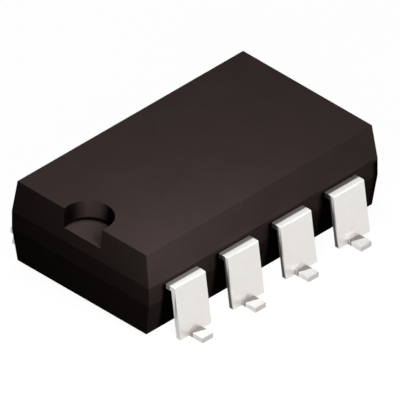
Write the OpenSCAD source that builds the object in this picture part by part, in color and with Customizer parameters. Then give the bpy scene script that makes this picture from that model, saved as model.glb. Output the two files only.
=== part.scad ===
// Surface-mount optocoupler with two channels.
// A black moulded body holds two rows of gull-wing leads. Inside, each channel has an infrared LED chip
// that faces a phototransistor chip through a block of white light-passing epoxy.
// X runs along the body with the notch at -X, leads 1 to 4 stand along -Y and leads 5 to 8 along +Y,
// and the solder feet stand on Z = 0.

/* [Body] */
// Length at the parting band
body_l = 11; // [10.6:0.1:13]
// Width at the parting band
body_w = 6.6; // [6:0.1:8]
// Height of the drafted part above the band
top_h = 1.3; // [1:0.05:2]
// Height of the straight band round the parting line
band_h = 0.7; // [0.4:0.05:1.2]
// Height of the drafted part below the band
bottom_h = 1.3; // [1:0.05:2]
// Inset of the top and bottom faces at each end
end_inset = 0.075; // [0.02:0.005:0.2]
// Inset of the top and bottom faces along each side
side_inset = 0.2; // [0.05:0.01:0.4]
// Gap between the underside and the board
standoff = 0.25; // [0.1:0.01:0.5]
// Shift of the body along Y, off the middle of the lead frame
body_shift = -0.05; // [-0.15:0.01:0.15]

/* [Notch and ejector marks] */
// Radius of the half-moon notch
notch_r = 0.93; // [0.5:0.01:1.1]
// Distance of the notch's centre from the end of the body
notch_setback = 0.3; // [0:0.01:0.36]
// Shift of the notch along Y, off the middle of the body
notch_shift = -0.055; // [-0.2:0.005:0.2]
// Depth of the notch below the top face
notch_depth = 0.78; // [0.2:0.02:1.2]
// Diameter of each ejector mark in the underside
ejector_d = 1.2; // [0.6:0.1:1.8]
// Depth of each ejector mark
ejector_depth = 0.05; // [0.02:0.01:0.1]
// Distance between the two ejector marks
ejector_spacing = 6; // [4:0.5:8]

/* [Leads outside the body] */
// Distance between neighbouring leads
lead_pitch = 2.54; // [2.4:0.01:2.65]
// Shift of both rows along the body
row_shift = -0.13; // [-0.15:0.01:0.3]
// Width of a lead down to its solder foot
lead_w = 1.48; // [1:0.02:1.8]
// Thickness of the lead frame
lead_t = 0.2; // [0.12:0.01:0.28]
// Reach of the shoulder from the side of an unshifted body to its outer corner
exit_run = 0.47; // [0.4:0.01:0.7]
// Rounding of the outer corners, at the shoulder and at the heel of the foot
bend_r = 0.05; // [0.02:0.01:0.1]
// Outward slant of the plate below the shoulder
plate_slant = 8; // [2:1:15]
// Height of the plate's lower edge above the board
plate_gap = 0.08; // [0.04:0.01:0.11]
// Width of the solder foot
foot_w = 0.5; // [0.3:0.02:0.9]
// Length of the solder foot in front of the plate
foot_l = 0.59; // [0.3:0.01:1]

/* [Leads inside the body] */
// How far a lead's full width runs into the body
shoulder_in = 0.5; // [0.2:0.05:0.9]
// Distance of each lead's finger from the middle of its channel
finger_x = 0.87; // [0.8:0.01:0.95]
// Width of the finger
finger_w = 0.55; // [0.4:0.01:0.6]
// Rise of the pad above, or its drop below, the lead's own level
pad_rise = 0.6; // [0.5:0.02:0.8]
// Slope of the step up to the pad
step_angle = 45; // [35:1:60]
// Inner radius of the bends in the step
step_bend_r = 0.1; // [0.05:0.01:0.2]
// Distance of the chip pad's middle from the middle of its channel
pad_x = 0.45; // [0.4:0.01:0.5]
// Width of the chip pad
pad_w = 1.45; // [1.1:0.01:1.6]
// How far the chip pad runs back from the middle of the body towards its lead
pad_back = 0.9; // [0.5:0.01:1.1]
// How far the chip pad runs past the middle of the body
pad_over = 0.55; // [0.45:0.01:0.9]
// How far the bond post runs past the middle of the body
post_over = 0.25; // [0.1:0.01:0.9]

/* [Inner moulding] */
// Width of the inner moulding across the body
inner_w = 4.4; // [4:0.1:5]
// Epoxy beyond the fingers and pads at each end of the inner moulding
inner_end_cover = 0.2; // [0.1:0.01:0.25]
// Epoxy above and below the pads
inner_pad_cover = 0.35; // [0.15:0.01:0.45]
// Distance from the inner moulding's side to the step in each lead
step_cover = 0.2; // [0.1:0.01:0.4]
// Inset of the inner moulding's top and bottom faces
inner_inset = 0.08; // [0.02:0.01:0.09]

/* [Chips and bond wires] */
// Width of the square LED chip
led_w = 0.35; // [0.25:0.01:0.6]
// Height of the LED chip
led_h = 0.25; // [0.15:0.01:0.3]
// Width of the square phototransistor chip
detector_w = 0.8; // [0.5:0.01:0.9]
// Height of the phototransistor chip
detector_h = 0.25; // [0.15:0.01:0.3]
// Thickness of the die-attach epoxy
attach_t = 0.02; // [0.01:0.005:0.05]
// Overhang of the die-attach epoxy round a chip
attach_rim = 0.04; // [0.01:0.005:0.06]
// Diameter of the bond wire
wire_d = 0.03; // [0.02:0.005:0.05]
// Height of the bond wire's loop above its chip
wire_loop = 0.15; // [0.1:0.01:0.18]
// Distance of the bond from the chip's edge
bond_inset = 0.1; // [0.05:0.01:0.12]

/* [Hidden] */
$fn = 48;
CHANNELS = [1, 2];
LEADS = [1, 2, 3, 4, 5, 6, 7, 8];
CHANNEL_PIECES = ["inner_moulding", "led_chip", "led_attach", "led_wire", "phototransistor_chip",
    "phototransistor_attach", "phototransistor_wire"];

// Colours of the moulding compounds, metals and chips
BLACK_EPOXY = [0.17, 0.15, 0.145];
WHITE_EPOXY = [0.92, 0.91, 0.87];
TIN = [0.86, 0.85, 0.83];
LED_GREY = [0.36, 0.34, 0.37];
SILICON_BLUE = [0.23, 0.26, 0.34];
SILVER_EPOXY = [0.7, 0.7, 0.68];
GOLD = [0.9, 0.7, 0.25];

// Heights of the body and of the flat lead strip
body_h = bottom_h + band_h + top_h;
strip_under_z = standoff + bottom_h + band_h / 2;
strip_mid_z = strip_under_z + lead_t / 2;
strip_top_z = strip_under_z + lead_t;

// Stepped path of a lead inside the body
step_y = inner_w / 2 - step_cover;
step_arcs = 2 * step_bend_r + lead_t;
slope_l = (pad_rise - step_arcs * (1 - cos(step_angle))) / sin(step_angle);
step_l = step_arcs * sin(step_angle) + slope_l * cos(step_angle);
flat_y = step_y - step_l;

// Inner moulding, which reaches past the fingers and the pads
inner_l = 2 * (max(finger_x + finger_w / 2, pad_x + pad_w / 2) + inner_end_cover);
inner_draft_h = pad_rise + inner_pad_cover;

// Bond wire, drawn as a ring of points at each step along its loop
WIRE_SIDES = 8;
WIRE_STEPS = 14;

// Flats along a rounded corner of a lead
CORNER_STEPS = 6;

// Which channel a lead belongs to, whether it is on the output side and whether it carries a chip
function lead_channel(n) = (n <= 2 || n >= 7) ? 1 : 2;
function is_output(n) = n > 4;
function has_pad(n) = n == 2 || n == 3 || n == 6 || n == 7;
function channel_leads(c) = [for (n = LEADS) if (lead_channel(n) == c) n];

// Distance of the plate's front and back faces from the body's side, at a height above the board
function plate_front(z) = exit_run + (strip_top_z - z) * tan(plate_slant);
function plate_back(z) = plate_front(z) - lead_t / cos(plate_slant);

// Points along a rounded corner between two other points of an outline
function rounded_corner(before, corner, after, radius) =
    let (
        back = (before - corner) / norm(before - corner),
        ahead = (after - corner) / norm(after - corner),
        half = acos(back * ahead) / 2,
        middle = corner + radius / sin(half) * (back + ahead) / norm(back + ahead),
        start = corner + radius / tan(half) * back - middle,
        end = corner + radius / tan(half) * ahead - middle)
    [for (i = [0 : CORNER_STEPS])
        let (spoke = start + (end - start) * i / CORNER_STEPS)
        middle + radius * spoke / norm(spoke)];

// Outline of a moulded block with a straight band and drafted faces above and below it
module drafted_outline(width, bottom, band, top, inset) {
    half = width / 2;
    height = bottom + band + top;
    polygon([
        [-half + inset, 0], [half - inset, 0],
        [half, bottom], [half, bottom + band],
        [half - inset, height], [-half + inset, height],
        [-half, bottom + band], [-half, bottom]]);
}

// Block drafted on all four sides, standing on Z = 0
module drafted_block(length, width, bottom, band, top, end_in, side_in) {
    intersection() {
        rotate([90, 0, 0]) linear_extrude(width, center = true)
            drafted_outline(length, bottom, band, top, end_in);
        rotate([90, 0, 90]) linear_extrude(length, center = true)
            drafted_outline(width, bottom, band, top, side_in);
    }
}

// Part of a ring between two radii, from the start angle through the turn
module ring_sector(r_1, r_2, start, turn) {
    outer = max(r_1, r_2);
    angles = [start, start + turn / 2, start + turn];
    intersection() {
        difference() {
            circle(outer);
            circle(min(r_1, r_2));
        }
        polygon(concat([[0, 0]], [for (a = angles) 2 * outer * [cos(a), sin(a)]]));
    }
}

// Side view of a bent strip, whose top face follows the path. Each move in the path is a straight run,
// then a turn, up if positive, and the radius of that turn on the top face.
module bent_strip(path, thickness, move = 0) {
    if (move < len(path)) {
        run = path[move][0];
        turn = path[move][1];
        radius = path[move][2];
        way = sign(turn);
        translate([0, -thickness]) square([run, thickness]);
        translate([run, way * radius]) {
            if (turn != 0) ring_sector(radius, radius + way * thickness, -90 * way, turn);
            rotate(turn) translate([0, -way * radius]) bent_strip(path, thickness, move + 1);
        }
    }
}

// Side view of the shoulder, which leaves the body flat, and of the plate that slants down from it
module wing_outline() {
    root = [-shoulder_in, strip_top_z];
    corner = [exit_run, strip_top_z];
    edge = [plate_front(plate_gap), plate_gap];
    polygon(concat(
        [root],
        rounded_corner(root, corner, edge, bend_r),
        [edge, [plate_back(plate_gap), plate_gap], [plate_back(strip_under_z), strip_under_z],
            [-shoulder_in, strip_under_z]]));
}

// Side view of the solder foot, from inside the plate to the tip
module foot_outline() {
    tip = plate_front(lead_t) + foot_l;
    heel = [plate_back(0), 0];
    root = [plate_back(lead_t), lead_t];
    polygon(concat([root, [tip, lead_t], [tip, 0]], rounded_corner([tip, 0], heel, root, bend_r)));
}

// Lead outside the body, on the input side: shoulder, slanted plate and solder foot
module outer_lead() {
    translate([0, -body_w / 2, 0]) rotate([90, 0, -90]) {
        linear_extrude(lead_w, center = true) wing_outline();
        linear_extrude(foot_w, center = true) foot_outline();
    }
}

// Lead inside the body, on the input side: stepped finger, with a chip pad or a bond post at its end
module inner_lead(side, over) {
    finger_path = [
        [body_w / 2 - step_y, step_angle, step_bend_r],
        [slope_l, -step_angle, step_bend_r + lead_t],
        [flat_y + over, 0, 0]];
    translate([side * finger_x, -body_w / 2, lead_t / 2]) rotate([90, 0, 90])
        linear_extrude(finger_w, center = true) bent_strip(finger_path, lead_t);
}

module chip_pad() {
    translate([pad_x - pad_w / 2, -pad_back, pad_rise - lead_t / 2])
        cube([pad_w, pad_back + pad_over, lead_t]);
}

// Places a channel: the second one is the first one's mirror image along the body
module in_channel(c) {
    if (c == 1) translate([row_shift - lead_pitch, 0, 0]) children();
    else translate([row_shift + lead_pitch, 0, 0]) mirror([1, 0, 0]) children();
}

// Places what is on the flat strip's middle level: the output half is the input half turned over
module in_half(output) {
    translate([0, 0, strip_mid_z]) rotate([output ? 180 : 0, 0, 0]) children();
}

module lead(n) {
    side = has_pad(n) ? 1 : -1;
    over = has_pad(n) ? 0 : post_over;
    color(TIN) in_channel(lead_channel(n)) union() {
        translate([side * lead_pitch / 2, 0, 0]) rotate([0, 0, is_output(n) ? 180 : 0]) outer_lead();
        in_half(is_output(n)) {
            inner_lead(side, over);
            if (has_pad(n)) chip_pad();
        }
    }
}

// Layer of die-attach epoxy under the pad
module attach_layer(chip_w) {
    width = chip_w + 2 * attach_rim;
    translate([pad_x - width / 2, -width / 2, pad_rise - lead_t / 2 - attach_t])
        cube([width, width, attach_t]);
}

// Chip below its die-attach epoxy
module chip(chip_w, chip_h) {
    translate([pad_x - chip_w / 2, -chip_w / 2, pad_rise - lead_t / 2 - attach_t - chip_h])
        cube([chip_w, chip_w, chip_h]);
}

// Bond wire that leaves the chip's face straight down, loops over and comes up to the bond post
module bond_wire(chip_w, chip_h) {
    post_z = pad_rise - lead_t / 2;
    chip_z = post_z - attach_t - chip_h;
    bond_x = pad_x - chip_w / 2 + bond_inset;
    span = -finger_x - bond_x;
    rise = post_z - chip_z;
    angles = [for (i = [0 : WIRE_STEPS]) 180 * i / WIRE_STEPS];
    sides = [for (j = [0 : WIRE_SIDES - 1]) 360 * j / WIRE_SIDES];
    rings = [for (a = angles)
        let (
            f = (1 - cos(a)) / 2,
            middle = [bond_x + span * f, 0, chip_z + rise * f - wire_loop * sin(a)],
            along = [span * sin(a) / 2, 0, rise * sin(a) / 2 - wire_loop * cos(a)],
            across = [0, 1, 0],
            up = cross(along / norm(along), across))
        [for (b = sides) middle + wire_d / 2 * (cos(b) * across + sin(b) * up)]];
    last = WIRE_STEPS * WIRE_SIDES;
    walls = [for (i = [0 : WIRE_STEPS - 1], j = [0 : WIRE_SIDES - 1])
        let (
            here = i * WIRE_SIDES + j,
            next = i * WIRE_SIDES + (j + 1) % WIRE_SIDES)
        each [
            [here, here + WIRE_SIDES, next + WIRE_SIDES],
            [here, next + WIRE_SIDES, next]]];
    ends = [
        [for (j = [0 : WIRE_SIDES - 1]) j],
        [for (j = [WIRE_SIDES - 1 : -1 : 0]) last + j]];
    polyhedron([for (ring = rings) each ring], concat(walls, ends));
}

module led_chip(c) {
    color(LED_GREY) in_channel(c) in_half(false) chip(led_w, led_h);
}

module led_attach(c) {
    color(SILVER_EPOXY) in_channel(c) in_half(false) attach_layer(led_w);
}

module led_wire(c) {
    color(GOLD) in_channel(c) in_half(false) bond_wire(led_w, led_h);
}

module phototransistor_chip(c) {
    color(SILICON_BLUE) in_channel(c) in_half(true) chip(detector_w, detector_h);
}

module phototransistor_attach(c) {
    color(SILVER_EPOXY) in_channel(c) in_half(true) attach_layer(detector_w);
}

module phototransistor_wire(c) {
    color(GOLD) in_channel(c) in_half(true) bond_wire(detector_w, detector_h);
}

// Space that the inner moulding fills inside the outer body
module inner_form(c) {
    in_channel(c) translate([0, 0, strip_mid_z - lead_t / 2 - inner_draft_h])
        drafted_block(inner_l, inner_w, inner_draft_h, lead_t, inner_draft_h, inner_inset, inner_inset);
}

// White epoxy moulded round one channel's pads, chips and wires
module inner_moulding(c) {
    color(WHITE_EPOXY) difference() {
        inner_form(c);
        for (n = channel_leads(c)) lead(n);
        led_chip(c);
        led_attach(c);
        led_wire(c);
        phototransistor_chip(c);
        phototransistor_attach(c);
        phototransistor_wire(c);
    }
}

// Half-moon notch that marks the end with lead 1
module notch() {
    translate([notch_setback - body_l / 2, notch_shift, standoff + body_h - notch_depth])
        cylinder(r = notch_r, h = 2 * notch_depth);
}

module ejector_marks() {
    for (side = [-1, 1])
        translate([side * ejector_spacing / 2, 0, standoff - ejector_depth])
            cylinder(d = ejector_d, h = 2 * ejector_depth);
}

// Black epoxy moulded round the leads and both inner mouldings
module outer_body() {
    color(BLACK_EPOXY) difference() {
        translate([0, body_shift, 0]) difference() {
            translate([0, 0, standoff])
                drafted_block(body_l, body_w, bottom_h, band_h, top_h, end_inset, side_inset);
            notch();
            ejector_marks();
        }
        for (n = LEADS) lead(n);
        for (c = CHANNELS) inner_form(c);
    }
}

outer_body();
for (n = LEADS) lead(n);
for (c = CHANNELS) {
    inner_moulding(c);
    led_chip(c);
    led_attach(c);
    led_wire(c);
    phototransistor_chip(c);
    phototransistor_attach(c);
    phototransistor_wire(c);
}
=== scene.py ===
"""Looks of a surface-mount optocoupler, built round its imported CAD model."""

import math

import bmesh
import bpy
from mathutils import Matrix, Vector


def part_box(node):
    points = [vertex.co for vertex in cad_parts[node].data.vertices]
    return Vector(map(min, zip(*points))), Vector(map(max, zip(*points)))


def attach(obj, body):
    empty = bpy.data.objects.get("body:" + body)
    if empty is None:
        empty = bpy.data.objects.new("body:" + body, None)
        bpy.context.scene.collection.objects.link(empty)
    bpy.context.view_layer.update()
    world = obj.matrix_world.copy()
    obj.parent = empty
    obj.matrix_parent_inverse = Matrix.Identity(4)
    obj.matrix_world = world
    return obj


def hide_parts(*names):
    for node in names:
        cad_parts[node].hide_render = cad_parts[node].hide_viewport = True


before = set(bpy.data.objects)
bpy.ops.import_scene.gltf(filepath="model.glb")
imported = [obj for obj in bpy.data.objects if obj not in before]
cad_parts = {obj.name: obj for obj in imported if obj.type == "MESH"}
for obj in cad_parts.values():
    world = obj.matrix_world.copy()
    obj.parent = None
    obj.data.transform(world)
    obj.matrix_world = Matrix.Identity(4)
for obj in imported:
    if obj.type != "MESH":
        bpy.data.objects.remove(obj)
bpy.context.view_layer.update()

bl_info = {
    "name": "Optocoupler looks",
    "version": (1, 0, 0),
    "blender": (4, 5, 0),
    "location": "View3D > Sidebar > Optocoupler",
    "description": "Builds the moulded body, the tinned leads and the finishes of an optocoupler",
    "category": "Object",
}

# Lengths are modelled in millimetres and made metres at the end
MM = 0.001

# Pieces of the part
BODY_NODE = "outer_body"
CHANNELS = (1, 2)
LEADS = range(1, 9)
PAD_LEADS = (2, 3, 6, 7)
FIRST_CHANNEL_LEADS = (1, 2, 7, 8)
FIRST_OUTPUT_LEAD = 5

# Fineness of the meshes
BEND_STEPS = 14
NOTCH_SIDES = 128
EJECTOR_SIDES = 64
ROUND_SEGMENTS = 2
BEND_SEGMENTS = 4
SHARP_ANGLE = math.radians(50)
LEVEL_ANGLE = math.radians(0.2)
MERGE_DISTANCE = 1e-4
CUT_TOLERANCE = 1e-6
FLAT_AREA = 0.05

# Patterns: the range that most of a noise, and of the distances between flakes, lies in
NOISE_SPAN = (0.3, 0.7)
FLAKE_SPAN = (0.1, 0.7)
FLAKES_PER_MM = 90.0

# Black epoxy: sizes in millimetres, tones as factors and mixes as shares
EPOXY_GRAIN = 0.06
EPOXY_CLOUD = 1.2
EPOXY_RELIEF = 0.003
EPOXY_ROUGHNESS = (0.5, 0.68)
EPOXY_SPECULAR = 0.001
# Painted shade: the lower half is darker and the band lies partway between, blended over a short height
HALF_SHADE_BLEND = 0.02
BAND_SHARE = 0.33
# Painted light: the notch is paler than the top by this factor
NOTCH_PAINTED_LIGHT = 1.35
SPECK_SPAN = (0.35, 0.65)
SPECK_SHARE = (0.0, 0.16)
SPECK_TONE = 1.7
CLOUD_SHARE = (0.0, 0.12)

# Zone of the notch: shares of its radius and depth, and the width of the rim that it leaves out
NOTCH_MARGIN = 1.02
NOTCH_REACH = 1.1
NOTCH_RIM = 0.02

# Shades of the epoxy: where each is nil and where it is full, in millimetres or by the way a face points
CREVICE_REACH = 0.15
CREVICE_SKY = (0.8, 0.5)
NOTCH_SIDE_OF_LEAD = (-0.28, -0.1)
FAR_SIDE_OF_LEAD = (0.01, -0.05)
ABOVE_LEAD = (0.08, 0.0)
LONG_SIDE = (0.7, 0.9)
UPRIGHT = (0.6, 0.5)
WALL_FOOT = (0.14, 0.05)
NEAR_CHEEK = (-0.3, 0.12)
NEAR_CHEEK_SHADE = 0.95
FAR_CHEEK = (-0.7, -0.99)
FAR_CHEEK_SHADE = 0.93

# Tin plate: sizes in millimetres, and its range of roughness and of metal from satin to matt
TIN_CRYSTAL = 0.25
TIN_SHARE = (0.0, 0.5)
TIN_TONES = (0.97, 1.03)
DRAWN_MARKS = 0.03
DRAWN_STRETCH = (1.0, 0.12, 0.12)
DRAWN_RELIEF = 0.001
TIN_ROUGHNESS = (0.3, 0.42)
TIN_METALLIC = (0.85, 0.1)

# Zones of a lead: where each is nil and where it is full, in millimetres or by the way a face points
# The upper sides and the cut faces also take the paler tin, which is painted light
UPPER_SIDE = (0.4, 0.9)
CUT_FACE = (0.6, 0.95)
CUT_FACE_MATT = 0.55
NEAR_BOARD = (0.3, 0.25)
# Painted shade and shadow on the leads: beside the body, at the root of the foot, at the cut tips and
# faintly on the crown
AT_BODY = (-0.23, -0.27)
PAST_PLATE = (0.0, 0.01)
AT_PLATE = (0.2, 0.16)
AT_PLATE_SKEW = 0.34
AT_TIP = (-0.015, -0.005)
TIP_SHADE = 0.5
CROWN_FALL = (0.0, -0.23)
CROWN_DROP = 0.08
CROWN_SHADE = 0.06
# Painted shade on the cut edges between the leads: its rise behind an unshaded front strip, that strip's
# widening for each millimetre of height, and the row's end edges that it leaves out
EDGE_SHADE_RISE = (0.0, 0.06)
UNSHADED_FRONT_SLOPE = 0.045
ROW_END_PITCHES = 1.7

# Lamps: place, target and width in millimetres, and the light that reaches the target
LAMPS = {
    "Near lamp": ((-7.5, -9.8, 10.9), (-2.0, -2.0, 2.5), 7.0, 0.745),
    "Front lamp": ((10.0, -14.0, 5.0), (0.0, -3.0, 1.5), 3.0, 0.168),
    "Top lamp": ((0.0, 5.7, 40.0), (0.0, 0.0, 3.5), 6.0, 0.315),
}

# Camera and floor: directions, and lengths in millimetres
VIEW_FROM = Vector((-1.0, -1.0, 1.0))
VIEW_RIGHT = Vector((1.0, -1.0, 0.0))
CAMERA_DISTANCE = 60.0
CLIP_NEAR = 1.0
CLIP_FAR = 2000.0
FLOOR_GAP = 0.002
WHITE = (1.0, 1.0, 1.0, 1.0)

body_low, body_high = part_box(BODY_NODE)
body_size = body_high - body_low


def length(name, description, millimetres):
    """Property for a length in millimetres, kept in metres."""
    return bpy.props.FloatProperty(
        name=name, description=description, default=millimetres * MM, min=0.0,
        precision=6, unit="LENGTH", subtype="DISTANCE")


def signed_length(name, description, millimetres):
    """Property for a length that may point either way."""
    return bpy.props.FloatProperty(
        name=name, description=description, default=millimetres * MM,
        precision=6, unit="LENGTH", subtype="DISTANCE")


def angle(name, description, degrees):
    """Property for an angle in degrees, kept in radians."""
    return bpy.props.FloatProperty(
        name=name, description=description, default=math.radians(degrees),
        unit="ROTATION", subtype="ANGLE")


def colour(name, description, rgb):
    """Property for a colour."""
    return bpy.props.FloatVectorProperty(
        name=name, description=description, default=rgb, min=0.0, max=1.0, subtype="COLOR")


def share(name, description, value):
    """Property for a share between 0 and 1."""
    return bpy.props.FloatProperty(
        name=name, description=description, default=value, min=0.0, max=1.0, subtype="FACTOR")


class OPTOCOUPLER_PG_body(bpy.types.PropertyGroup):
    """Sizes of the moulded body"""

    body_length: length("Length", "Length at the parting band", body_size.x / MM)
    body_width: length("Width", "Width at the parting band", body_size.y / MM)
    standoff: length("Standoff", "Gap between the underside and the board", body_low.z / MM)
    body_shift: signed_length("Shift", "Shift of the body across the lead frame", -0.05)
    bottom_height: length("Bottom height", "Height of the drafted part below the band", 1.3)
    band_height: length("Band height", "Height of the straight band round the parting line", 0.7)
    top_height: length("Top height", "Height of the drafted part above the band", 1.3)
    end_inset: length("End inset", "Inset of the top and bottom faces at each end", 0.075)
    side_inset: length("Side inset", "Inset of the top and bottom faces along each side", 0.2)
    notch_radius: length("Notch radius", "Radius of the half-moon notch", 0.93)
    notch_setback: length("Notch setback", "Distance of the notch's centre from the end", 0.3)
    notch_shift: signed_length("Notch shift", "Shift of the notch off the body's middle", -0.055)
    notch_depth: length("Notch depth", "Depth of the notch below the top face", 0.78)
    ejector_diameter: length("Ejector diameter", "Diameter of each ejector mark", 1.2)
    ejector_depth: length("Ejector depth", "Depth of each ejector mark", 0.05)
    ejector_spacing: length("Ejector spacing", "Distance between the ejector marks", 6.0)
    edge_round: length("Edge rounding", "Rounding of the moulded edges", 0.012)


class OPTOCOUPLER_PG_lead(bpy.types.PropertyGroup):
    """Sizes of the leads"""

    pitch: length("Pitch", "Distance between neighbouring leads", 2.54)
    row_shift: signed_length("Row shift", "Shift of both rows along the body", -0.13)
    width: length("Width", "Width of a lead down to its solder foot", 1.48)
    thickness: length("Thickness", "Thickness of the lead frame", 0.2)
    exit_run: length("Exit run", "Reach of the shoulder from an unshifted body's side", 0.47)
    bend_round: length("Bend rounding", "Rounding of the outer corners of the bends", 0.05)
    slant: angle("Slant", "Outward slant of the plate below the shoulder", 8.0)
    plate_gap: length("Plate gap", "Height of the plate's lower edge above the board", 0.08)
    foot_width: length("Foot width", "Width of the solder foot", 0.5)
    foot_length: length("Foot length", "Length of the solder foot in front of the plate", 0.59)
    shoulder_in: length("Shoulder depth", "How far the full width runs into the body", 0.5)
    finger_offset: length("Finger offset", "Distance of the finger from its channel's middle", 0.87)
    finger_width: length("Finger width", "Width of the finger inside the body", 0.55)
    step_start: length("Step start", "Distance of the step from the body's middle", 2.0)
    step_angle: angle("Step angle", "Slope of the step up to the pad", 45.0)
    step_bend_radius: length("Step bend radius", "Inner radius of the bends in the step", 0.1)
    pad_rise: length("Pad rise", "Rise of the pad from the lead's own level", 0.6)
    pad_offset: length("Pad offset", "Distance of the pad's middle from its channel's middle", 0.45)
    pad_width: length("Pad width", "Width of the chip pad", 1.45)
    pad_back: length("Pad back", "How far the pad runs back towards its lead", 0.9)
    pad_over: length("Pad overrun", "How far the pad runs past the body's middle", 0.55)
    post_over: length("Post overrun", "How far the bond post runs past the body's middle", 0.25)
    edge_round: length("Edge rounding", "Rounding of the stamped edges", 0.012)


class OPTOCOUPLER_PG_finish(bpy.types.PropertyGroup):
    """Colours of the moulding compounds, metals and chips"""

    upper_epoxy: colour("Upper epoxy", "Matt black of the upper mould half", (0.0634, 0.0455, 0.0422))
    # Darker colour for the painted shade on the lower half and band, also the dark tone of the random
    # clouds
    shade_and_cloud_epoxy: colour("Lower epoxy", "Deeper black of the lower mould half", (0.0212, 0.0158, 0.0132))
    # Painted shade: black in crevices, behind the leads and on the cheeks of the notch
    painted_shade_black: colour("Epoxy crevice", "Black in crevices and behind leads", (0.001, 0.0008, 0.0007))
    tin: colour("Tin", "Tin plate on the leads", (0.82, 0.797, 0.765))
    # Painted light: paler tin on the upper sides and the cut faces of the leads
    lit_matt_tin: colour("Matt tin", "Tin plate on the upper sides of the leads", (0.94, 0.925, 0.91))
    shaded_tin: colour("Shaded tin", "Tin plate in the corners of the leads", (0.30, 0.27, 0.26))
    # Painted shade on the cut edges between the leads
    edge_shade_tin: colour("Sheared edge", "Dull edges between the leads", (0.07, 0.058, 0.055))
    white_epoxy: colour("White epoxy", "Light-passing epoxy round the chips", (0.86, 0.85, 0.80))
    led_chip: colour("LED chip", "Infrared LED chip", (0.11, 0.10, 0.12))
    silicon: colour("Silicon", "Phototransistor chip", (0.05, 0.06, 0.09))
    silver_epoxy: colour("Silver epoxy", "Die-attach epoxy", (0.45, 0.45, 0.43))
    gold: colour("Gold", "Bond wires", (0.83, 0.55, 0.16))


class OPTOCOUPLER_PG_stage(bpy.types.PropertyGroup):
    """Camera, floor and surroundings"""

    view_width: length("View width", "Width of the camera's frame", 13.595)
    view_right: signed_length("View right", "Shift of the camera's target to its right", 0.2144)
    view_up: signed_length("View up", "Shift of the camera's target up its frame", 1.2801)
    floor_colour: colour("Floor", "Pale floor", (0.07, 0.07, 0.07))
    floor_glow: share("Floor glow", "Light that the white floor shows by itself", 0.965)
    ambient: share("Ambient", "Light from all round", 0.005)


class Sizes:
    """Lengths of a property group in millimetres, and its angles in radians."""

    def __init__(self, group):
        for name, prop in group.bl_rna.properties.items():
            if prop.type == "FLOAT" and not prop.is_array:
                value = getattr(group, name)
                setattr(self, name, value / MM if prop.unit == "LENGTH" else value)


def settings(context):
    """Sizes of the body and of the leads, in millimetres."""
    return Sizes(context.scene.optocoupler_body), Sizes(context.scene.optocoupler_lead)


def top_level(body):
    """Height of the body's top face above the board."""
    return body.standoff + body.bottom_height + body.band_height + body.top_height


def strip_level(body, lead):
    """Height of the flat strip's top face above the board."""
    return body.standoff + body.bottom_height + body.band_height / 2 + lead.thickness


def plate_front(body, lead, height):
    """Distance of the plate's front face from the body's middle, at a height above the board."""
    fall = strip_level(body, lead) - height
    return body.body_width / 2 + lead.exit_run + fall * math.tan(lead.slant)


def sides_of(middle, width):
    """Places of both sides of something, from its middle and its width."""
    return middle - width / 2, middle + width / 2


def faces_of(made):
    """Faces among what an operator made."""
    return [item for item in made if isinstance(item, bmesh.types.BMFace)]


def verts_of(made):
    """Vertices among what an operator made."""
    return [item for item in made if isinstance(item, bmesh.types.BMVert)]


def once_each(items):
    """Items without repeats, in the order in which they first come."""
    return list(dict.fromkeys(items))


def faces_round(made):
    """Faces that touch the vertices an operator made."""
    return once_each(face for vert in verts_of(made) for face in vert.link_faces)


def faces_between(faces, low, high):
    """Faces whose middle lies between two places along X."""
    return [face for face in faces if low < face.calc_center_median().x < high]


def edges_on(bm, y, z):
    """Edges along X at a place across the lead."""
    line = Vector((y, z))
    return [edge for edge in bm.edges
            if all((vert.co.yz - line).length < MERGE_DISTANCE for vert in edge.verts)]


def is_open(faces):
    """Tells a flat section, which stays on as a solid's first end, from a face of a solid."""
    return all(len(edge.link_faces) == 1 or set(edge.link_faces) <= set(faces)
               for face in faces for edge in face.edges)


def extrude(bm, faces, way):
    """Pulls faces along a vector, and returns the faces at the far end and all that was made."""
    is_cap = is_open(faces)
    made = bmesh.ops.extrude_face_region(bm, geom=faces)["geom"]
    bmesh.ops.translate(bm, vec=way, verts=verts_of(made))
    if not is_cap:
        bmesh.ops.delete(bm, geom=faces, context="FACES_ONLY")
    return faces_of(made), made


def cut(bm, point, normal):
    """Splits every face that a plane crosses."""
    geom = bm.verts[:] + bm.edges[:] + bm.faces[:]
    bmesh.ops.bisect_plane(bm, geom=geom, dist=CUT_TOLERANCE, plane_co=point, plane_no=normal)


def unit_square():
    """Flat square, one unit wide, in a bmesh of its own."""
    bm = bmesh.new()
    bmesh.ops.create_grid(bm, x_segments=1, y_segments=1, size=0.5)
    return bm


def upright_section(width, thickness, middle, y, top):
    """Upright rectangle across a strip, with its top edge at a height."""
    bm = unit_square()
    bmesh.ops.scale(bm, vec=(width, thickness, 1.0), verts=bm.verts)
    quarter_turn = Matrix.Rotation(math.pi / 2, 3, "X")
    bmesh.ops.rotate(bm, cent=(0.0, 0.0, 0.0), matrix=quarter_turn, verts=bm.verts)
    bmesh.ops.translate(bm, vec=(middle, y, top - thickness / 2), verts=bm.verts)
    return bm


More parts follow.
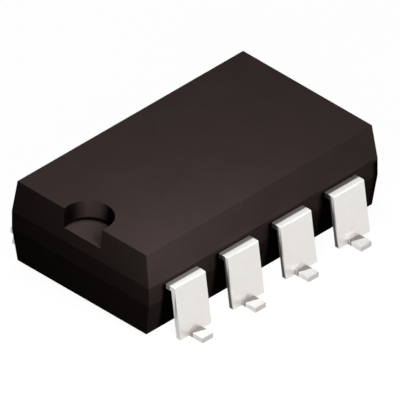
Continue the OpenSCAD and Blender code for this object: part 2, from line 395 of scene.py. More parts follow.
class StripEnd:
    """Open end of a bent strip: its faces, a point on its top face there and its slope."""

    def __init__(self, faces, point, facing):
        self.faces = faces
        self.point = Vector(point)
        self.facing = facing
        self.slope = 0.0
        self.lean = 0.0

    def along(self):
        """Direction in which the strip runs."""
        return Vector((0.0, self.facing * math.cos(self.slope), math.sin(self.slope)))

    def up(self):
        """Direction out of the strip's top face."""
        return Vector((0.0, -self.facing * math.sin(self.slope), math.cos(self.slope)))

    def run(self, bm, stretch):
        """Takes the strip straight on to a square end, and returns what was made."""
        way = self.along() * stretch
        self.faces, made = extrude(bm, self.faces, way)
        self.point += way
        self.slant(bm, self.lean)
        self.lean = 0.0
        return made

    def slant(self, bm, lean):
        """Moves the end along the strip, by the lean for each unit below the top face."""
        along = self.along()
        up = self.up()
        shear = Matrix([[float(row == column) - lean * along[row] * up[column] for column in range(3)]
                        for row in range(3)]).to_4x4()
        verts = once_each(vert for face in self.faces for vert in face.verts)
        bmesh.ops.transform(bm, matrix=shear, space=Matrix.Translation(-self.point), verts=verts)

    def fold(self, bm, turn):
        """Bends the strip sharply at the top face's edge, up if the turn is positive."""
        self.lean = math.tan(turn / 2)
        self.slant(bm, self.lean)
        self.slope += turn

    def turn(self, bm, turn, radius):
        """Bends the strip, up if the turn is positive, about a radius on its top face."""
        bend = math.copysign(1.0, turn)
        centre = self.point + self.up() * bend * radius
        made = bmesh.ops.spin(
            bm, geom=self.faces, cent=centre, axis=(bend * self.facing, 0.0, 0.0),
            dvec=(0.0, 0.0, 0.0), angle=abs(turn), steps=BEND_STEPS)
        bmesh.ops.delete(bm, geom=self.faces, context="FACES_ONLY")
        self.faces = faces_of(made["geom_last"])
        self.slope += turn
        self.point = centre - self.up() * bend * radius


def add_wing(bm, body, lead, wing):
    """Takes a strip out as the shoulder and down as the slanted plate, and returns its last stretch."""
    turn = math.pi / 2 - lead.slant
    plate = (strip_level(body, lead) - lead.plate_gap) / math.sin(turn)
    last = (lead.thickness - lead.plate_gap) / math.sin(turn)
    wing.run(bm, lead.shoulder_in + lead.exit_run)
    wing.fold(bm, -turn)
    wing.run(bm, plate - last)
    skirt = wing.run(bm, last)
    wing.slant(bm, -math.tan(lead.slant))
    return skirt


def add_foot(bm, body, lead, wing, skirt, tab):
    """Draws the solder foot out of the plate's front and then down to the board."""
    front = [face for face in faces_between(faces_round(skirt), *tab)
             if abs((face.calc_center_median() - wing.point).dot(wing.up())) < MERGE_DISTANCE]
    tip = wing.facing * (plate_front(body, lead, lead.thickness) + lead.foot_length)
    made = extrude(bm, front, (0.0, wing.facing * lead.foot_length, 0.0))[1]
    bmesh.ops.scale(
        bm, vec=(1.0, 0.0, 1.0), space=Matrix.Translation((0.0, -tip, 0.0)), verts=verts_of(made))
    under = [face for face in faces_between(bm.faces, *tab)
             if all(abs(vert.co.z - lead.plate_gap) < MERGE_DISTANCE for vert in face.verts)]
    extrude(bm, under, (0.0, 0.0, -lead.plate_gap))


def round_bends(bm, body, lead, outward):
    """Rounds the outer corners of the bends, at the shoulder and at the heel."""
    strip_top = strip_level(body, lead)
    turn = math.pi / 2 - lead.slant
    heel = plate_front(body, lead, lead.plate_gap) - lead.thickness / math.cos(lead.slant)
    bends = edges_on(bm, outward * plate_front(body, lead, strip_top), strip_top)
    bends += edges_on(bm, outward * heel, 0.0)
    bmesh.ops.bevel(
        bm, geom=bends, offset=lead.bend_round * math.tan(turn / 2), offset_type="OFFSET",
        segments=BEND_SEGMENTS, profile=0.5, affect="EDGES", material=-1)


def widen_pad(bm, lead, finger, made):
    """Pulls the finger's last stretch out sideways to the width of the chip pad."""
    sides = faces_round(made)
    for edge, target in zip(finger, sides_of(lead.pad_offset, lead.pad_width)):
        wall = [face for face in sides if face.is_valid
                and all(abs(vert.co.x - edge) < MERGE_DISTANCE for vert in face.verts)]
        extrude(bm, wall, (target - edge, 0.0, 0.0))


def add_finger(bm, body, lead, inner, finger, step, has_pad):
    """Takes a strip into the body, up or down to the chips' level, and on to a chip pad or a bond post."""
    arcs = 2 * lead.step_bend_radius + lead.thickness
    slope = (lead.pad_rise - arcs * (1 - math.cos(lead.step_angle))) / math.sin(lead.step_angle)
    step_length = arcs * math.sin(lead.step_angle) + slope * math.cos(lead.step_angle)
    flat = lead.step_start - step_length
    hollow = lead.step_bend_radius
    crest = lead.step_bend_radius + lead.thickness
    inner.run(bm, body.body_width / 2 - lead.step_start - lead.shoulder_in)
    inner.turn(bm, step * lead.step_angle, hollow if step > 0 else crest)
    inner.run(bm, slope)
    inner.turn(bm, -step * lead.step_angle, crest if step > 0 else hollow)
    if has_pad:
        inner.run(bm, flat - lead.pad_back)
        pad = inner.run(bm, lead.pad_back + lead.pad_over)
        widen_pad(bm, lead, finger, pad)
    else:
        inner.run(bm, flat + lead.post_over)


def lead_mesh(body, lead, has_pad, is_output):
    """Lead with its gull wing, solder foot and inner finger, in its channel's own place."""
    outward = 1 if is_output else -1
    step = -1 if is_output else 1
    middle = lead.pitch / 2
    tab = sides_of(middle, lead.foot_width)
    finger = sides_of(lead.finger_offset, lead.finger_width)
    start = (0.0, outward * (body.body_width / 2 - lead.shoulder_in), strip_level(body, lead))

    bm = upright_section(lead.width, lead.thickness, middle, *start[1:])
    for x in tab + finger:
        cut(bm, (x, 0.0, 0.0), (1.0, 0.0, 0.0))
    section = bm.faces[:]
    wing = StripEnd(section, start, outward)
    skirt = add_wing(bm, body, lead, wing)
    add_foot(bm, body, lead, wing, skirt, tab)
    round_bends(bm, body, lead, outward)
    inner = StripEnd(faces_between(section, *finger), start, -outward)
    add_finger(bm, body, lead, inner, finger, step, has_pad)
    return bm


def ring_of(face):
    """Places of a face's corners in turn, from the lowest on."""
    places = [vert.co.to_tuple() for vert in face.verts]
    first = places.index(min(places))
    return places[first:] + places[:first]


def in_order(bm):
    """Faces of a mesh, merged, with nothing loose between them and always in the same order.

    Extruding and dissolving leave them in another order on each run.
    """
    bmesh.ops.remove_doubles(bm, verts=bm.verts, dist=MERGE_DISTANCE)
    rings = sorted(ring_of(face) for face in bm.faces)
    places = once_each(place for ring in rings for place in ring)
    made = bmesh.new()
    corners = {place: made.verts.new(place) for place in places}
    for ring in rings:
        made.faces.new([corners[place] for place in ring])
    made.normal_update()
    bm.free()
    return made


def soften(bm, width):
    """Rounds each sharp outward edge a little, and shades small faces smooth and large ones flat."""
    bm = in_order(bm)
    bmesh.ops.dissolve_limit(
        bm, angle_limit=LEVEL_ANGLE, use_dissolve_boundaries=False,
        verts=bm.verts[:], edges=bm.edges[:], delimit=set())
    bm = in_order(bm)
    bmesh.ops.recalc_face_normals(bm, faces=bm.faces)
    sharp = [edge for edge in bm.edges if edge.calc_face_angle_signed(0.0) > SHARP_ANGLE]
    bmesh.ops.bevel(
        bm, geom=sharp, offset=width, offset_type="OFFSET", segments=ROUND_SEGMENTS,
        profile=0.5, affect="EDGES", material=-1, clamp_overlap=False)
    for face in bm.faces:
        face.smooth = face.calc_area() < FLAT_AREA
    for edge in bm.edges:
        edge.smooth = edge.calc_face_angle(0.0) < SHARP_ANGLE
    return bm


def new_object(name, bm):
    """Object with a bmesh's shape."""
    mesh = bpy.data.meshes.new(name)
    bm.to_mesh(mesh)
    bm.free()
    made = bpy.data.objects.new(name, mesh)
    bpy.context.scene.collection.objects.link(made)
    return made


def finished_piece(name, bm, material, node):
    """Makes a piece in metres that stands for a CAD node."""
    bmesh.ops.scale(bm, vec=(MM, MM, MM), verts=bm.verts)
    piece = new_object(name, bm)
    piece.data.materials.append(material)
    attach(piece, "root")
    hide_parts(node)


def drafted_block(body):
    """Moulded block with a straight band and drafted faces above and below it."""
    band = Vector((body.body_length, body.body_width, 1.0))
    face = Vector((band.x - 2 * body.end_inset, band.y - 2 * body.side_inset, 1.0))
    bm = unit_square()
    bmesh.ops.scale(bm, vec=face, verts=bm.verts)
    bmesh.ops.translate(bm, vec=(0.0, 0.0, body.standoff), verts=bm.verts)
    top = bm.faces[:]
    size = face
    for rise, wanted in ((body.bottom_height, band), (body.band_height, band), (body.top_height, face)):
        top, made = extrude(bm, top, (0.0, 0.0, rise))
        bmesh.ops.scale(bm, vec=(wanted.x / size.x, wanted.y / size.y, 1.0), verts=verts_of(made))
        size = wanted
    bmesh.ops.recalc_face_normals(bm, faces=bm.faces)
    return in_order(bm)


def round_cutter(radius, sides, place, depth):
    """Upright cylinder that reaches the given depth either way of its place."""
    bm = bmesh.new()
    bmesh.ops.create_cone(
        bm, cap_ends=True, segments=sides, radius1=radius, radius2=radius, depth=2 * depth)
    bmesh.ops.translate(bm, vec=place, verts=bm.verts)
    return bm


def carved(block, cutters):
    """Block with each cutter's shape taken out."""
    base = new_object("Carved block", block)
    tools = [new_object("Cutter", cutter) for cutter in cutters]
    for tool in tools:
        modifier = base.modifiers.new("Cut", "BOOLEAN")
        modifier.operation = "DIFFERENCE"
        modifier.solver = "EXACT"
        modifier.object = tool
    graph = bpy.context.evaluated_depsgraph_get()
    bm = bmesh.new()
    bm.from_object(base, graph)
    for used in [base] + tools:
        mesh = used.data
        bpy.data.objects.remove(used)
        bpy.data.meshes.remove(mesh)
    return bm


def notched_block(body):
    """Drafted block with the notch in its end and the ejector marks in its underside."""
    notch_place = (body.notch_setback - body.body_length / 2, body.notch_shift, top_level(body))
    cutters = [round_cutter(body.notch_radius, NOTCH_SIDES, notch_place, body.notch_depth)]
    for side in (-1, 1):
        place = (side * body.ejector_spacing / 2, 0.0, body.standoff)
        cutters.append(
            round_cutter(body.ejector_diameter / 2, EJECTOR_SIDES, place, body.ejector_depth))
    bm = carved(drafted_block(body), cutters)
    bmesh.ops.translate(bm, vec=(0.0, body.body_shift, 0.0), verts=bm.verts)
    return bm


def node_shape(name):
    """Copy of a CAD node in millimetres, with its loose triangles joined."""
    bm = bmesh.new()
    bm.from_mesh(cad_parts[name].data)
    bmesh.ops.scale(bm, vec=(1 / MM, 1 / MM, 1 / MM), verts=bm.verts)
    bmesh.ops.remove_doubles(bm, verts=bm.verts, dist=MERGE_DISTANCE)
    return bm


def pocket_shape(name):
    """Outer shape of an inner moulding, without the hollows that its pieces fill."""
    bm = node_shape(name)
    bmesh.ops.delete(bm, geom=bm.edges[:] + bm.faces[:], context="EDGES_FACES")
    made = bmesh.ops.convex_hull(bm, input=bm.verts[:])
    bmesh.ops.delete(bm, geom=verts_of(made["geom_interior"]), context="VERTS")
    bmesh.ops.recalc_face_normals(bm, faces=bm.faces)
    return bm


def set_inputs(node, inputs):
    """Sets or links inputs of a node."""
    for name, value in inputs.items():
        if isinstance(value, bpy.types.NodeSocket):
            node.id_data.links.new(value, node.inputs[name])
        else:
            node.inputs[name].default_value = value


def add_node(tree, kind, inputs=None, **values):
    """New node with its values, and with its inputs set or linked."""
    made = tree.nodes.new(kind)
    for name, value in values.items():
        setattr(made, name, value)
    set_inputs(made, inputs or {})
    return made


def new_material(name):
    """Material with a Principled shader, its node tree and its Object coordinates."""
    material = bpy.data.materials.new(name)
    material.use_nodes = True
    tree = material.node_tree
    place = add_node(tree, "ShaderNodeTexCoord").outputs["Object"]
    return material, tree, tree.nodes["Principled BSDF"], place


def opaque(rgb, factor=1.0):
    """Colour with full alpha, made lighter or darker."""
    return tuple(min(channel * factor, 1.0) for channel in rgb) + (1.0,)


def object_axes(tree, place):
    """Object coordinates in millimetres, one for each axis."""
    scaled = add_node(tree, "ShaderNodeVectorMath", {0: place, "Scale": 1 / MM}, operation="SCALE")
    return add_node(tree, "ShaderNodeSeparateXYZ", {"Vector": scaled.outputs[0]}).outputs


def facing_axes(tree):
    """Direction in which a face points, one share for each axis."""
    normal = add_node(tree, "ShaderNodeTexCoord").outputs["Normal"]
    return add_node(tree, "ShaderNodeSeparateXYZ", {"Vector": normal}).outputs


def stretched(tree, place, scale):
    """Coordinates that draw a pattern out along the axes with a small scale."""
    return add_node(tree, "ShaderNodeMapping", {"Vector": place, "Scale": scale}).outputs["Vector"]


def noise(tree, place, size, detail=3.0, roughness=0.5):
    """Noise whose spots are about a size in millimetres across."""
    return add_node(
        tree, "ShaderNodeTexNoise",
        {"Vector": place, "Scale": 1.0 / (size * MM),
         "Detail": detail, "Roughness": roughness}).outputs["Fac"]


def remap(tree, value, span, result):
    """Value moved from one range to another, and held at its ends."""
    return add_node(
        tree, "ShaderNodeMapRange",
        {"Value": value, "From Min": span[0], "From Max": span[1],
         "To Min": result[0], "To Max": result[1]}).outputs["Result"]


def ramp(tree, value, ends, base=0.0, full=1.0):
    """Straight rise from nil at the first end to full at the second, both measured from a base."""
    return remap(tree, value, (base + ends[0], base + ends[1]), (0.0, full))


def blend(tree, factor, first, second):
    """Colour between two others."""
    mix = add_node(tree, "ShaderNodeMix", {0: factor, 6: first, 7: second}, data_type="RGBA")
    return mix.outputs[2]


def two_tones(tree, factor, rgb, tones):
    """Colour between two tones of its own."""
    return blend(tree, factor, opaque(rgb, tones[0]), opaque(rgb, tones[1]))


def combine(tree, operation, *values):
    """Result of an operation on values, taken one after another."""
    result = values[0]
    for value in values[1:]:
        result = add_node(tree, "ShaderNodeMath", {0: result, 1: value}, operation=operation).outputs[0]
    return result


def product(tree, *values):
    """Values multiplied."""
    return combine(tree, "MULTIPLY", *values)


def greatest(tree, *values):
    """Greatest of the values."""
    return combine(tree, "MAXIMUM", *values)


def difference(tree, first, second):
    """First value less the second."""
    return combine(tree, "SUBTRACT", first, second)


def outside(tree, zone):
    """1 where a zone is nil, and 0 where it is full."""
    return difference(tree, 1.0, zone)


def distance(tree, value, place=0.0):
    """Distance of a value from a place, either way."""
    return combine(tree, "ABSOLUTE", difference(tree, value, place), 0.0)


def between(tree, value, low, high):
    """1 between two values, and 0 outside them."""
    return product(
        tree, combine(tree, "GREATER_THAN", value, low), combine(tree, "LESS_THAN", value, high))


def set_bump(shader, height, depth, strength):
    """Relief of a depth in millimetres, on top of any that the shader has."""
    tree = shader.id_data
    bump = add_node(
        tree, "ShaderNodeBump", {"Height": height, "Distance": depth * MM, "Strength": strength})
    for link in shader.inputs["Normal"].links:
        tree.links.new(link.from_socket, bump.inputs["Normal"])
    tree.links.new(bump.outputs["Normal"], shader.inputs["Normal"])


def set_pattern(shader, rgb, pattern, span, tones, roughness):
    """Two tones of a colour, and a roughness, that follow a pattern."""
    tree = shader.id_data
    set_inputs(shader, {
        "Base Color": two_tones(tree, ramp(tree, pattern, span), rgb, tones),
        "Roughness": remap(tree, pattern, span, roughness),
    })


def from_lead(tree, x, lead):
    """Place along the row, from the middle of the nearest lead."""
    from_middle = difference(tree, x, lead.row_shift)
    in_pitch = add_node(
        tree, "ShaderNodeMath", {0: from_middle, 1: lead.pitch, 2: 0.0}, operation="WRAP").outputs[0]
    return difference(tree, in_pitch, lead.pitch / 2)


def notch_chord(body):
    """Half the width of the notch's opening at the end of the body."""
    return math.sqrt(body.notch_radius ** 2 - body.notch_setback ** 2)


def notch_zone(tree, axes, body, half_width):
    """1 in the notch, up to a distance from its middle, and 0 elsewhere."""
    end = -body.body_length / 2
    middle = body.body_shift + body.notch_shift
    top = top_level(body)
    along = between(tree, axes["X"], end, end + body.notch_setback + NOTCH_REACH * body.notch_radius)
    across = between(tree, axes["Y"], middle - half_width, middle + half_width)
    upright = between(tree, axes["Z"], top - NOTCH_MARGIN * body.notch_depth, top - NOTCH_RIM)
    return product(tree, along, across, upright)


def notch_shade(tree, axes, facing, body):
    """Shade on the cheeks of the notch and along the foot of its wall."""
    in_opening = notch_zone(tree, axes, body, notch_chord(body))
    in_notch = notch_zone(tree, axes, body, NOTCH_MARGIN * body.notch_radius)
    wall_foot = ramp(tree, axes["Z"], WALL_FOOT, top_level(body) - body.notch_depth)
    near_cheek = ramp(tree, facing["Y"], NEAR_CHEEK, full=NEAR_CHEEK_SHADE)
    far_cheek = ramp(tree, facing["Y"], FAR_CHEEK, full=FAR_CHEEK_SHADE)
    wall = greatest(
        tree, product(tree, in_opening, near_cheek), product(tree, in_notch, far_cheek),
        product(tree, in_opening, wall_foot))
    return product(tree, ramp(tree, distance(tree, facing["Z"]), UPRIGHT), wall)


def lead_shade(tree, axes, facing, body, lead):
    """Shade on the long sides of the body, behind the leads and a little past them towards the notch."""
    edge = lead.width / 2
    offset = from_lead(tree, axes["X"], lead)
    return product(
        tree, ramp(tree, offset, NOTCH_SIDE_OF_LEAD, -edge), ramp(tree, offset, FAR_SIDE_OF_LEAD, edge),
        ramp(tree, axes["Z"], ABOVE_LEAD, strip_level(body, lead)),
        ramp(tree, distance(tree, facing["Y"]), LONG_SIDE))


def epoxy_shade(tree, axes, body, lead):
    """1 in crevices, behind the leads and on the cheeks of the notch, and 0 on open faces."""
    facing = facing_axes(tree)
    sky = add_node(tree, "ShaderNodeAmbientOcclusion", {"Distance": CREVICE_REACH * MM}).outputs["AO"]
    return greatest(
        tree, ramp(tree, sky, CREVICE_SKY), notch_shade(tree, axes, facing, body),
        lead_shade(tree, axes, facing, body, lead))


def black_epoxy(finish, body, lead):
    """Matt black moulding compound, with painted shade on the lower half and in the band between, painted
    light in the notch, and painted shade in crevices, behind the leads and on the notch's cheeks.
    """
    material, tree, shader, place = new_material("Black epoxy")
    axes = object_axes(tree, place)
    grain = noise(tree, place, EPOXY_GRAIN, detail=4.0, roughness=0.6)
    cloud = noise(tree, place, EPOXY_CLOUD)
    band_low = body.standoff + body.bottom_height
    band_high = band_low + body.band_height
    # Painted shade: the lower half is darker than the top half, and the band lies partway between
    band = ramp(tree, axes["Z"], (-HALF_SHADE_BLEND, 0.0), band_low, BAND_SHARE)
    upper = ramp(tree, axes["Z"], (0.0, HALF_SHADE_BLEND), band_high, 1.0 - BAND_SHARE)
    half_shaded = blend(
        tree, combine(tree, "ADD", band, upper), opaque(finish.shade_and_cloud_epoxy), opaque(finish.upper_epoxy))
    # Painted light: the notch takes a paler tone of the top colour
    in_notch = notch_zone(tree, axes, body, notch_chord(body))
    notched = blend(tree, in_notch, half_shaded, opaque(finish.upper_epoxy, NOTCH_PAINTED_LIGHT))
    specks = remap(tree, grain, SPECK_SPAN, SPECK_SHARE)
    speckled = blend(tree, specks, notched, opaque(finish.upper_epoxy, SPECK_TONE))
    clouds = remap(tree, cloud, NOISE_SPAN, CLOUD_SHARE)
    clouded = blend(tree, clouds, speckled, opaque(finish.shade_and_cloud_epoxy))
    # Painted shade and shadow in crevices, behind the leads and on the notch's cheeks
    shade = epoxy_shade(tree, axes, body, lead)
    set_inputs(shader, {
        "Base Color": blend(tree, shade, clouded, opaque(finish.painted_shade_black)),
        "Roughness": remap(tree, grain, NOISE_SPAN, EPOXY_ROUGHNESS),
        "Specular IOR Level": EPOXY_SPECULAR,
    })
    set_bump(shader, grain, depth=EPOXY_RELIEF, strength=0.35)
    return material


class LeadZones:
    """Zones of the leads' surface, each 1 inside and 0 outside."""

    def __init__(self, tree, place, body, lead):
        self.tree = tree
        self.body = body
        self.lead = lead
        self.axes = object_axes(tree, place)
        self.reach = distance(tree, self.axes["Y"])
        self.shoulder = plate_front(body, lead, strip_level(body, lead))
        self.root = plate_front(body, lead, lead.plate_gap)
        facing = facing_axes(tree)
        self.upper = ramp(tree, facing["Z"], UPPER_SIDE)
        self.cut_face = ramp(tree, distance(tree, facing["X"]), CUT_FACE)
        self.near_board = ramp(tree, self.axes["Z"], NEAR_BOARD)
        self.at_body = ramp(tree, self.reach, AT_BODY, self.shoulder)
        self.past_plate = ramp(tree, self.reach, PAST_PLATE, self.root)
        self.crown = product(
            tree, self.upper, outside(tree, self.near_board), outside(tree, self.at_body))

    def shaded(self):
        """Corners beside the body and the plate, the cut tips and, faintly, the crown of the shoulder."""
        tree, lead = self.tree, self.lead
        tip = plate_front(self.body, lead, lead.thickness) + lead.foot_length
        on_foot = greatest(tree, self.past_plate, product(tree, self.upper, self.near_board))
        offset = from_lead(tree, self.axes["X"], lead)
        skewed = difference(tree, self.reach, product(tree, offset, AT_PLATE_SKEW))
        return greatest(
            tree, product(tree, self.upper, self.at_body),
            product(tree, on_foot, ramp(tree, skewed, AT_PLATE, self.root)),
            ramp(tree, self.reach, AT_TIP, tip, TIP_SHADE), product(tree, self.crown, CROWN_SHADE))

    def edge_shade(self):
        """Painted shade on the cut edges between the leads, behind an unshaded strip along their front
        that widens with height.
        """
        tree, lead, height = self.tree, self.lead, self.axes["Z"]
        lean = math.tan(lead.slant)
        foot_line = self.shoulder + strip_level(self.body, lead) * lean
        front = difference(tree, foot_line, product(tree, height, lean))
        depth = difference(tree, front, self.reach)
        behind_unshaded_front = difference(tree, depth, product(tree, height, UNSHADED_FRONT_SLOPE))
        from_middle = distance(tree, self.axes["X"], lead.row_shift)
        in_row = combine(tree, "LESS_THAN", from_middle, ROW_END_PITCHES * lead.pitch)
        return product(
            tree, self.cut_face, ramp(tree, behind_unshaded_front, EDGE_SHADE_RISE), in_row,
            outside(tree, self.past_plate))

    def matt(self):
        """Upper sides apart from the crown, and in part the cut edges."""
        tree = self.tree
        upper = product(tree, self.upper, outside(tree, self.crown))
        return greatest(tree, upper, product(tree, self.cut_face, CUT_FACE_MATT))


def tin_plate(finish, body, lead):
    """Satin tin plate, paler and matt on its upper sides and cut faces as painted light, and with painted
    shade in corners, at the tips and on the edges between leads.
    """
    material, tree, shader, place = new_material("Tin plate")
    zones = LeadZones(tree, place, body, lead)
    drawn = noise(tree, stretched(tree, place, DRAWN_STRETCH), DRAWN_MARKS, roughness=0.6)
    crystals = remap(tree, noise(tree, place, TIN_CRYSTAL), NOISE_SPAN, TIN_SHARE)
    plated = two_tones(tree, crystals, finish.tin, TIN_TONES)
    # Painted light: the upper sides and the cut faces take the paler tin
    pale = greatest(tree, zones.upper, zones.cut_face)
    topped = blend(tree, pale, plated, opaque(finish.lit_matt_tin))
    # Painted shade and shadow in the corners, at the tips and faintly on the crown
    shaded_layer = blend(tree, zones.shaded(), topped, opaque(finish.shaded_tin))
    set_inputs(shader, {
        # Painted shade on the cut edges between the leads
        "Base Color": blend(tree, zones.edge_shade(), shaded_layer, opaque(finish.edge_shade_tin)),
        "Metallic": remap(tree, zones.matt(), (0.0, 1.0), TIN_METALLIC),
        "Roughness": remap(tree, drawn, NOISE_SPAN, TIN_ROUGHNESS),
    })
    fall = ramp(tree, zones.reach, CROWN_FALL, zones.shoulder)
    set_bump(shader, fall, depth=CROWN_DROP, strength=1.0)
    set_bump(shader, drawn, depth=DRAWN_RELIEF, strength=0.25)
    return material


def light_passing_epoxy(finish):
    """White epoxy with a fine filler, which lets light through."""
    material, tree, shader, place = new_material("White epoxy")
    filler = noise(tree, place, size=0.08, detail=4.0)
    set_pattern(
        shader, finish.white_epoxy, filler, NOISE_SPAN, tones=(0.94, 1.0), roughness=(0.4, 0.55))
    set_bump(shader, filler, depth=0.004, strength=0.3)
    return material


def polished_chip(name, rgb):
    """Polished chip with faint sawn edges."""
    material, tree, shader, place = new_material(name)
    sawn = noise(tree, stretched(tree, place, scale=(1.0, 1.0, 0.1)), size=0.02)
    set_pattern(shader, rgb, sawn, NOISE_SPAN, tones=(0.85, 1.15), roughness=(0.1, 0.2))
    set_bump(shader, sawn, depth=0.0005, strength=0.2)
    return material


def silver_filled_epoxy(finish):
    """Grey epoxy full of silver flakes."""
    material, tree, shader, place = new_material("Silver epoxy")
    flakes = add_node(
        tree, "ShaderNodeTexVoronoi", {"Vector": place, "Scale": FLAKES_PER_MM / MM}).outputs["Distance"]
    set_pattern(
        shader, finish.silver_epoxy, flakes, FLAKE_SPAN, tones=(1.25, 0.8), roughness=(0.3, 0.55))
    set_inputs(shader, {"Metallic": 0.6})
    set_bump(shader, flakes, depth=0.001, strength=0.3)
    return material


def drawn_gold(finish):
    """Gold wire with faint drawing marks."""
    material, tree, shader, place = new_material("Drawn gold")
    marks = noise(tree, place, size=0.01)
    set_pattern(shader, finish.gold, marks, NOISE_SPAN, tones=(0.92, 1.06), roughness=(0.18, 0.3))
    set_inputs(shader, {"Metallic": 1.0})
    return material


def paint_nodes(prefix, material):
    """Gives the CAD nodes of one kind their finish."""
    found = [node for name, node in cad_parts.items() if name.startswith(prefix)]
    if not found:
        raise RuntimeError("no CAD node is named " + prefix)
    for node in found:
        node.data.materials.clear()
        node.data.materials.append(material)


class OPTOCOUPLER_OT_body(bpy.types.Operator):
    """Builds the moulded black body with its notch, its ejector marks and the room for what it holds"""

    bl_idname = "optocoupler.body"
    bl_label = "Moulded body"

    def execute(self, context):
        body, lead = settings(context)
        bm = notched_block(body)
        bm = soften(bm, body.edge_round)
        hollows = [pocket_shape(f"inner_moulding_{channel}") for channel in CHANNELS]
        hollows += [node_shape(f"lead_{number}") for number in LEADS]
        bm = carved(bm, hollows)
        epoxy = black_epoxy(context.scene.optocoupler_finish, body, lead)
        finished_piece("moulded_body", bm, epoxy, BODY_NODE)
        return {"FINISHED"}


class OPTOCOUPLER_OT_leads(bpy.types.Operator):
    """Builds the eight tinned leads"""

    bl_idname = "optocoupler.leads"
    bl_label = "Tinned leads"

    def execute(self, context):
        body, lead = settings(context)
        tin = tin_plate(context.scene.optocoupler_finish, body, lead)
        for number in LEADS:
            has_pad = number in PAD_LEADS
            channel = -1 if number in FIRST_CHANNEL_LEADS else 1
            side = -channel if has_pad else channel
            bm = lead_mesh(body, lead, has_pad, number >= FIRST_OUTPUT_LEAD)
            bm = soften(bm, lead.edge_round)
            bmesh.ops.scale(bm, vec=(side, 1.0, 1.0), verts=bm.verts)
            shift = lead.row_shift + channel * lead.pitch
            bmesh.ops.translate(bm, vec=(shift, 0.0, 0.0), verts=bm.verts)
            bmesh.ops.recalc_face_normals(bm, faces=bm.faces)
            finished_piece(f"gull_wing_lead_{number}", bm, tin, f"lead_{number}")
        return {"FINISHED"}


class OPTOCOUPLER_OT_inner_mouldings(bpy.types.Operator):
    """Finishes the white inner mouldings"""

    bl_idname = "optocoupler.inner_mouldings"
    bl_label = "Inner mouldings"

    def execute(self, context):
        paint_nodes("inner_moulding", light_passing_epoxy(context.scene.optocoupler_finish))
        return {"FINISHED"}


class OPTOCOUPLER_OT_chips(bpy.types.Operator):
    """Finishes the LED and phototransistor chips and their die-attach epoxy"""

    bl_idname = "optocoupler.chips"
    bl_label = "Chips"

    def execute(self, context):
        finish = context.scene.optocoupler_finish
        silver = silver_filled_epoxy(finish)
        paint_nodes("led_chip", polished_chip("LED chip", finish.led_chip))
        paint_nodes("led_attach", silver)
        paint_nodes("phototransistor_chip", polished_chip("Silicon chip", finish.silicon))
        paint_nodes("phototransistor_attach", silver)
        return {"FINISHED"}


class OPTOCOUPLER_OT_bond_wires(bpy.types.Operator):
    """Finishes the gold bond wires"""

    bl_idname = "optocoupler.bond_wires"
    bl_label = "Bond wires"

    def execute(self, context):
        gold = drawn_gold(context.scene.optocoupler_finish)
        paint_nodes("led_wire", gold)
        paint_nodes("phototransistor_wire", gold)
        return {"FINISHED"}


def seen_directly(tree):
    """1 for rays from the camera, a mirror or glass, which show the background, and 0 for light rays."""
    path = add_node(tree, "ShaderNodeLightPath").outputs
    return greatest(
        tree, path["Is Glossy Ray"], path["Is Transmission Ray"], path["Is Camera Ray"])


def set_world(stage):
    """White surroundings, which light the object only weakly."""
    world = bpy.data.worlds.new("Studio")
    world.use_nodes = True
    tree = world.node_tree
    light = tree.nodes["Background"]
    set_inputs(light, {"Color": WHITE, "Strength": stage.ambient})
    shown = add_node(tree, "ShaderNodeBackground", {"Color": WHITE, "Strength": 1.0})
    mix = add_node(
        tree, "ShaderNodeMixShader",
        {0: seen_directly(tree), 1: light.outputs[0], 2: shown.outputs[0]})
    set_inputs(tree.nodes["World Output"], {"Surface": mix.outputs[0]})
    world.cycles.sampling_method = "NONE"
    bpy.context.scene.world = world


def floor_finish(stage):
    """Pale floor that looks white and keeps a faint shadow."""
    material = bpy.data.materials.new("Pale floor")
    material.use_nodes = True
    tree = material.node_tree
    tree.nodes.remove(tree.nodes["Principled BSDF"])
    matt = add_node(tree, "ShaderNodeBsdfDiffuse", {"Color": opaque(stage.floor_colour)})
    glow = add_node(
        tree, "ShaderNodeEmission", {"Strength": product(tree, seen_directly(tree), stage.floor_glow)})
    both = add_node(tree, "ShaderNodeAddShader", {0: matt.outputs[0], 1: glow.outputs[0]})
    set_inputs(tree.nodes["Material Output"], {"Surface": both.outputs[0]})
    material.cycles.emission_sampling = "NONE"
    return material


def add_floor(stage):
    """Flat floor just under the solder feet."""
    bm = unit_square()
    bmesh.ops.translate(bm, vec=(0.0, 0.0, -FLOOR_GAP * MM), verts=bm.verts)
    floor = new_object("floor", bm)
    floor.data.materials.append(floor_finish(stage))


def add_lamp(name, place, target, width, light):
    """Soft round lamp, sizes in millimetres. A light of 1 shows white as white at the target."""
    place, target = Vector(place) * MM, Vector(target) * MM
    data = bpy.data.lights.new(name, "AREA")
    data.shape = "DISK"
    data.size = width * MM
    data.energy = light * math.pi ** 2 * (place - target).length_squared
    lamp = bpy.data.objects.new(name, data)
    lamp.location = place
    lamp.rotation_mode = "QUATERNION"
    lamp.rotation_quaternion = (target - place).to_track_quat("-Z", "Y")
    lamp.visible_camera = False
    bpy.context.scene.collection.objects.link(lamp)


def add_camera(stage):
    """Camera for a true isometric view from the notch end and the first row of leads."""
    back = VIEW_FROM.normalized()
    right = VIEW_RIGHT.normalized()
    up = back.cross(right)
    data = bpy.data.cameras.new("Camera")
    data.type = "ORTHO"
    data.ortho_scale = stage.view_width
    data.clip_start = CLIP_NEAR * MM
    data.clip_end = CLIP_FAR * MM
    camera = bpy.data.objects.new("Camera", data)
    camera.rotation_mode = "QUATERNION"
    camera.rotation_quaternion = (-back).to_track_quat("-Z", "Y")
    camera.location = right * stage.view_right + up * stage.view_up + back * CAMERA_DISTANCE * MM
    bpy.context.scene.collection.objects.link(camera)
    bpy.context.scene.camera = camera


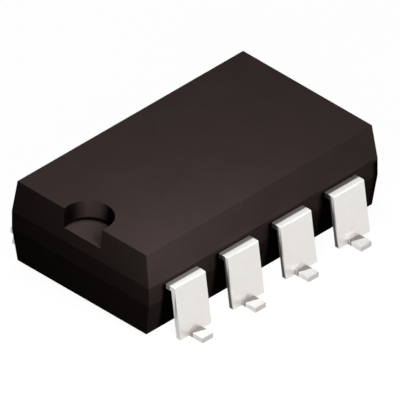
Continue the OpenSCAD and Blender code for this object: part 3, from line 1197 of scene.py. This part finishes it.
class OPTOCOUPLER_OT_stage(bpy.types.Operator):
    """Sets up the floor, the lamps, the surroundings and the camera"""

    bl_idname = "optocoupler.stage"
    bl_label = "Stage"

    def execute(self, context):
        stage = context.scene.optocoupler_stage
        set_world(stage)
        add_floor(stage)
        for name, lamp in LAMPS.items():
            add_lamp(name, *lamp)
        context.scene.view_settings.view_transform = "Standard"
        add_camera(stage)
        return {"FINISHED"}


OPERATORS = (
    OPTOCOUPLER_OT_body,
    OPTOCOUPLER_OT_leads,
    OPTOCOUPLER_OT_inner_mouldings,
    OPTOCOUPLER_OT_chips,
    OPTOCOUPLER_OT_bond_wires,
    OPTOCOUPLER_OT_stage,
)
GROUPS = {
    "optocoupler_body": OPTOCOUPLER_PG_body,
    "optocoupler_lead": OPTOCOUPLER_PG_lead,
    "optocoupler_finish": OPTOCOUPLER_PG_finish,
    "optocoupler_stage": OPTOCOUPLER_PG_stage,
}


class OPTOCOUPLER_PT_panel(bpy.types.Panel):
    """Sizes, colours and pieces of the optocoupler"""

    bl_label = "Optocoupler"
    bl_idname = "OPTOCOUPLER_PT_panel"
    bl_space_type = "VIEW_3D"
    bl_region_type = "UI"
    bl_category = "Optocoupler"

    def draw(self, context):
        for name in GROUPS:
            group = getattr(context.scene, name)
            box = self.layout.box()
            for prop in group.__annotations__:
                box.prop(group, prop)
        for operator in OPERATORS:
            self.layout.operator(operator.bl_idname)


CLASSES = (*GROUPS.values(), *OPERATORS, OPTOCOUPLER_PT_panel)


def register():
    """Adds the classes and the settings to Blender."""
    for cls in CLASSES:
        bpy.utils.register_class(cls)
    for name, group in GROUPS.items():
        setattr(bpy.types.Scene, name, bpy.props.PointerProperty(type=group))


def unregister():
    """Takes the settings and the classes out again."""
    for name in GROUPS:
        delattr(bpy.types.Scene, name)
    for cls in reversed(CLASSES):
        bpy.utils.unregister_class(cls)


def main():
    """Builds the pieces in order."""
    register()
    bpy.ops.optocoupler.body()
    bpy.ops.optocoupler.leads()
    bpy.ops.optocoupler.inner_mouldings()
    bpy.ops.optocoupler.chips()
    bpy.ops.optocoupler.bond_wires()
    bpy.ops.optocoupler.stage()


if __name__ == "__main__":
    main()
